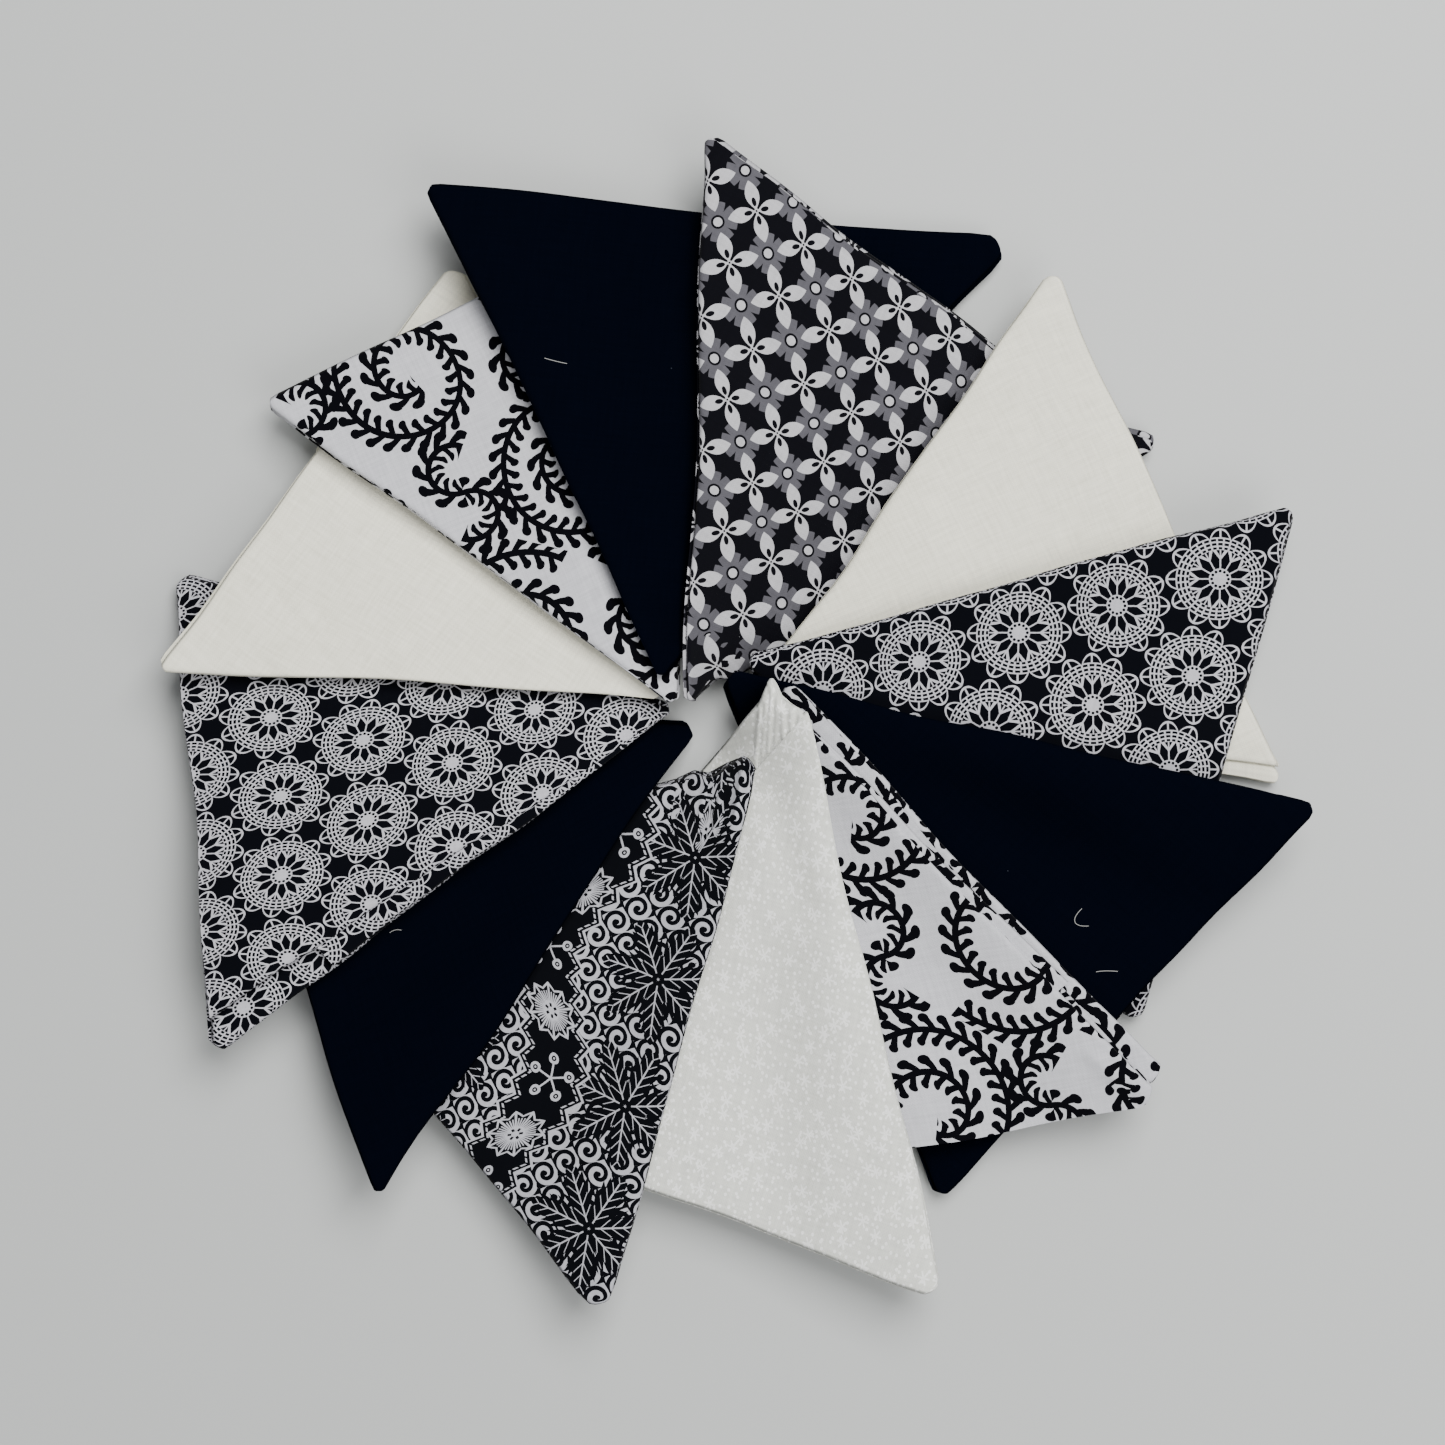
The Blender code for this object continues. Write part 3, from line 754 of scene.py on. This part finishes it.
def vine_print(tree, u, v, in_mm):
    """Vines curled into spirals, every second one the other way round, with short branches between them."""
    wide, high = VINE_PITCH
    a, b = u.repeated(wide), v.repeated(high)
    c, d = (u + wide / 2).repeated(wide), (v + high / 2).repeated(high)
    x, y = nearest_mirrored(a, b, c, d)
    r = (x * x + y * y).take("SQRT")
    turn = y.take("ARCTAN2", x) / (2 * math.pi)
    arm = r / VINE_COIL - turn
    beside = (arm - (arm + 0.5).take("FLOOR")) * VINE_COIL
    on_arm = r - beside
    turns = (arm + 0.5).take("FLOOR") + turn
    ink = leafy(beside, on_arm * on_arm * (math.pi / VINE_COIL)) & (turns > 0.45) & (turns < 2.15)
    x, y = nearest_mirrored(c, b, a, d)
    for middle_x, middle_y, radius, start, end in VINE_BRANCHES:
        p, q = x - middle_x, y - middle_y
        away = (p * p + q * q).take("SQRT") - radius
        way = (q.take("ARCTAN2", p) / (2 * math.pi) - start).take("WRAP", 1, 0)
        ink = ink | (leafy(away, way * (2 * math.pi * radius)) & (way < end - start))
    return dye(tree, "#B8B8BC", ((ink, "#030307"),))


vine_cotton = cotton("printed_cotton_vine", vine_print)
piece = make_fat_quarter("vine_fat_quarter_5", "cut", cut_at=(12, 20), turned=90,
                         top_moved=((-3.4, -3.3), (0, 0), (-1.5, -4.8)),
                         creases=(((84, -79), (97, -89), 1.6, 0.9), ((88, -84), (99, -86), 1.4, 0.8)),
                         pushes=(((104, -86), 5, (0.6, 1.6)),))
piece.data.materials.append(vine_cotton)
declare(piece)
piece = make_fat_quarter("vine_fat_quarter_11", "folded", cut_at=(5, 9), turned=90,
                         pushes=(((-7, 128), 9, (-1.0, -5.5)),))
piece.data.materials.append(vine_cotton)
declare(piece)

# Fat quarter 6, white on white stars
# Cotton printed in white on off-white with small six-armed stars among scattered dots. Its tip was
# gathered as it was turned, and stands in upright pleats that the top turn stops short of.


def star_print(tree, u, v, in_mm):
    """Small dots and six-armed stars, scattered."""
    masks = []
    for spacing, size, arms in ((1.9, 0.36, 0), (5.2, 1.45, 6)):
        cells = add(tree, "ShaderNodeTexVoronoi", {"Scale": 1 / spacing, "voronoi_dimensions": "2D"},
                    {"Vector": in_mm})
        from_cell = add(tree, "ShaderNodeVectorMath", {"operation": "SUBTRACT"},
                        {0: in_mm, 1: cells.outputs["Position"]})
        parts = add(tree, "ShaderNodeSeparateXYZ", {}, {0: from_cell.outputs[0]})
        r, turn = polar(Field(tree, parts.outputs[0]), Field(tree, parts.outputs[1]))
        if arms:
            masks.append((r < size) & (abs(turn.repeated(2 * math.pi / arms)) * r < 0.2))
        else:
            masks.append(r < size)
    return dye(tree, "#D0D1C9", ((masks[0], "#EDEDE9"), (masks[1], "#EAEAE6")))


star_cotton = cotton("printed_cotton_star", star_print)
piece = make_fat_quarter(
    "star_fat_quarter_6", "folded",
    turned_over=(((10.7, -5.4), (-0.75, 0.66), 1.0, True), ((13.0, 4.4), (0.63, 0.775), 0.5, False)),
    pushes=(((11.6, 4.6), 2.6, (-1.3, -1.4)), ((8.2, 9.4), 2.6, (0.2, 1.4)),
            ((4.6, 4.6), 2.2, (0.5, -0.2))),
    creases=(((7.8, -16), (15, -43), 4.5, -1.2), ((17, -16), (24, -42), 5, 0.8)),
    pleated_ply=23,                 # the top ply of the turn seen past the tucked tip
    pleats=(
        ((4.4, -9), (5.6, 7), 0.55, 0.9), ((5.9, -8), (6.8, 7), 0.5, 0.8), ((7.3, -7), (8.0, 8), 0.5, 0.9),
        ((9.0, -5), (9.4, 6), 0.6, 0.7), ((10.9, -3.4), (10.6, 2.6), 0.8, 1.0),
        ((12.8, -2), (12.6, 2.4), 0.7, 1.0), ((14.4, -0.6), (14.9, 1.6), 0.7, 0.9)))
piece.data.materials.append(star_cotton)
declare(piece)

# Fat quarter 7, leaf and scroll print
# Cotton printed in black and white with toothed leaves, curls, round flowers and berries, a plain
# design of this script's own in the manner of old block prints. Its tip is a little gathered.
SCROLL_PITCH = (58.0, 46.0)         # mm, from one flower to the next along and across; another lies between


def toothed_leaves(x, y, count, length, width):
    """Toothed leaves round a point, and the midribs and veins that are left white in them."""
    r, turn = polar(x, y)
    t = (turn + 0.3).repeated(2 * math.pi / count)
    s, side = r * t.take("COSINE"), abs(r * t.take("SINE"))
    share = s / length
    half = (share * (share * -1 + 1) * 4).take("MAXIMUM", 0).take("POWER", 0.7) * width
    teeth = ((s - side * 1.1) * 0.40).take("FRACT")
    leaf = side < half * (teeth * 0.5 + 0.58)
    vein = (side < 0.17) & (share < 0.85) & (share > 0.1)
    return leaf, vein | ((abs((s - side * 1.3).repeated(2.5)) < 0.15) & (side < half * 0.55))


def scroll_print(tree, u, v, in_mm):
    """Wavy black bands with pale flowers and berries, and toothed leaves and curls on white between."""
    wide, high = SCROLL_PITCH
    wave = (u * (2 * math.pi / wide)).take("SINE") * 4.5
    off_band = abs((v + wave).repeated(high))
    scallop = abs(u.repeated(wide / 10)) * 0.9
    band, border = off_band < scallop * -1 + 8.6, off_band < scallop * -1 + 9.3
    edging = (abs(off_band + scallop - 7.6) < 0.26) & (abs(u.repeated(1.3)) > 0.22)

    between_u = (u + wide / 4).repeated(wide / 2)
    leaf, vein = toothed_leaves(between_u, (v + high / 2).repeated(high), 7, 14.5, 3.7)
    p, q = nearest_repeat(u, v, 8.6, 7.8)
    curl_r, curl_turn = polar(p, q)
    arm = curl_r / 2.1 - curl_turn / (2 * math.pi)
    curl = (abs(arm.repeated(1.0)) < 0.24) & (curl_r < 4.0) | (curl_r < 0.6)
    from_barb = abs((curl_turn + curl_r * 0.4).repeated(math.pi / 2)) * curl_r
    barb = (curl_r > 3.0) & (from_barb < curl_r * 0.35 - 0.62)
    ink = ((curl | barb) & ~border) | band
    ink = (ink & ~(leaf & vein)) | (leaf & ~vein & ~border) | band

    x, y = u.repeated(wide / 2), (v + wave).repeated(high)
    r, turn = polar(x, y)
    petal = abs(turn.repeated(math.pi / 5)) * r
    rim = petal * -0.9 + 6.3
    rays = (abs(turn.repeated(math.pi / 20)) * r < 0.14) & (r < 4.2)
    petals = (r < rim - 0.6) & (petal > r * 0.03 + 0.1) & (r > 2.0) & ~rays
    heart = (r < 1.6) & ((abs(turn.repeated(math.pi / 3)) * r < 0.3) & (r > 0.8))
    flower = (r < rim) & ~(petals | heart)
    berry_r, berry_turn = polar(between_u, y)
    spoke = abs(berry_turn.repeated(2 * math.pi / 5)) * berry_r
    from_berry = (berry_r - 4.4) * (berry_r - 4.4) + spoke * spoke
    rings = (from_berry < 1.5) & (from_berry > 0.35)
    berries = rings | ((berry_r < 3.4) & (spoke < 0.22)) | (from_berry < 0.06)
    white = (flower | berries | edging) & band
    return dye(tree, "#A6A6AB", ((ink & ~white, "#040509"),))


scroll_cotton = cotton("printed_cotton_scroll", scroll_print)
piece = make_fat_quarter("scroll_fat_quarter_7", "folded", cut_at=(8, 5), turned=60,
    creases=(((0.5, -11), (-2, -30), 2.6, 1.0), ((-9, -13), (-13, -30), 2.6, 1.0)), pleats=(
        ((1.2, -11), (-0.6, -22), 0.7, 0.7), ((-3.6, -13), (-5.4, -24), 0.7, 0.8),
        ((-7.2, -13), (-9, -22), 0.7, 0.7)),
    pushes=(((-6.2, -12.4), 2.4, (-0.5, -1.7)), ((0.4, -9.8), 2.8, (0.4, 1.0)),
            ((-10.2, -12.6), 2.6, (0.2, 1.0)), ((4.4, -13.4), 2.4, (-0.7, 0.2))))
piece.data.materials.append(scroll_cotton)
declare(piece)

# Floor, light and camera
# A plain pale board, lit from overhead by broad soft lights, seen from straight above.
bm = bmesh.new()
bmesh.ops.create_grid(bm, x_segments=1, y_segments=1, size=3.0)
floor_mesh = bpy.data.meshes.new("pale_board")
bm.to_mesh(floor_mesh)
bm.free()
floor = bpy.data.objects.new("pale_board", floor_mesh)
bpy.context.scene.collection.objects.link(floor)
painted = bpy.data.materials.new("painted_board")
painted.use_nodes = True
painted.node_tree.nodes["Principled BSDF"].inputs["Base Color"].default_value = srgb("#B1B3B1")
painted.node_tree.nodes["Principled BSDF"].inputs["Roughness"].default_value = 0.5
floor.data.materials.append(painted)

for name, spot, size, power in (
    ("ceiling_light", (0.35, 0.6, 1.4), 0.9, 38),
    ("window_light", (0.6, -0.6, 1.3), 1.0, 13),
):
    lamp = bpy.data.lights.new(name, "AREA")
    lamp.size = size
    lamp.energy = power
    light = bpy.data.objects.new(name, lamp)
    light.location = spot
    light.rotation_euler = (Vector((0, 0, 0)) - Vector(spot)).to_track_quat("-Z", "Y").to_euler()
    bpy.context.scene.collection.objects.link(light)
world = bpy.data.worlds.new("room")
bpy.context.scene.world = world
world.use_nodes = True
world.node_tree.nodes["Background"].inputs["Color"].default_value = srgb("#F4F6FA")
world.node_tree.nodes["Background"].inputs["Strength"].default_value = 0.34

CAMERA_HEIGHT = 0.95
FRAME_WIDTH = 0.348                 # metres of board across the photo, at the cloth's middle height
VIEW_CENTRE = (-3.6, 0.2)
lens = bpy.data.cameras.new("camera")
lens.sensor_width = 36
lens.lens = 36 * (CAMERA_HEIGHT - 0.012) / FRAME_WIDTH
lens.clip_start = 0.05
camera = bpy.data.objects.new("camera", lens)
camera.location = (VIEW_CENTRE[0] * MM, VIEW_CENTRE[1] * MM, CAMERA_HEIGHT)
bpy.context.scene.collection.objects.link(camera)
bpy.context.scene.camera = camera
